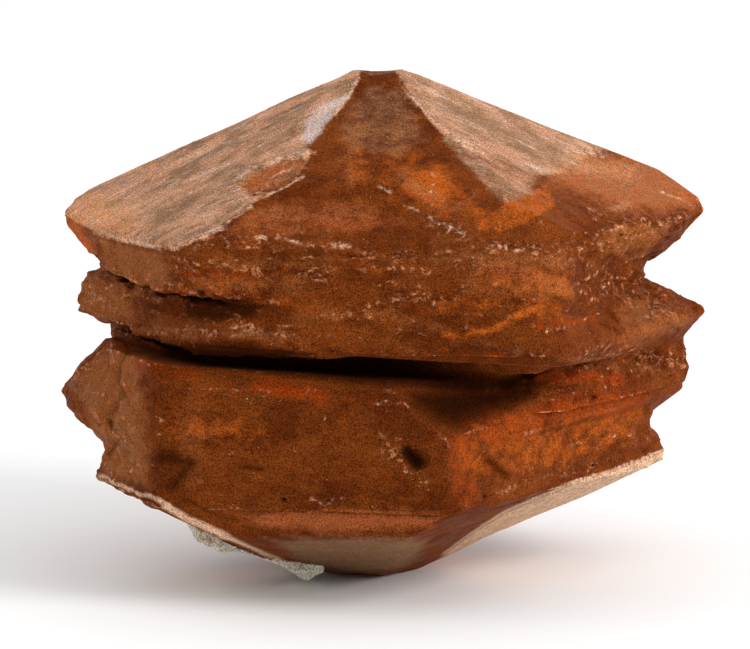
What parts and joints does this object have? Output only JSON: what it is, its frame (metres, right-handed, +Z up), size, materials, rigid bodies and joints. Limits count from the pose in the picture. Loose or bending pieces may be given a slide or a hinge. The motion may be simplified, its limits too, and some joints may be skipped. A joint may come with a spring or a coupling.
{
  "type": "sturmanite crystal",
  "caption": "Doubly terminated hexagonal crystal of amber-brown sturmanite, grown in stacked tiers with grooves between them, standing on its blunt lower tip.",
  "frame": {"origin": "middle of the small flat facet on the lower tip, on the surface that the crystal stands on", "axes": "+Z up along the crystal's long axis from the lower tip to the upper tip; -Y is the front, the side with the flat lower face; +X is to the right, seen from the front"},
  "size_m": [0.0322, 0.0267, 0.0253],
  "materials": {
    "crystal": "resinous, translucent orange-brown to dark red-brown, with pale chalky rims, white specks and a matt pale bloom on the upper side faces"
  },
  "bodies": {
    "root": {"crystal": "crystal"}
  },
  "joints": []
}
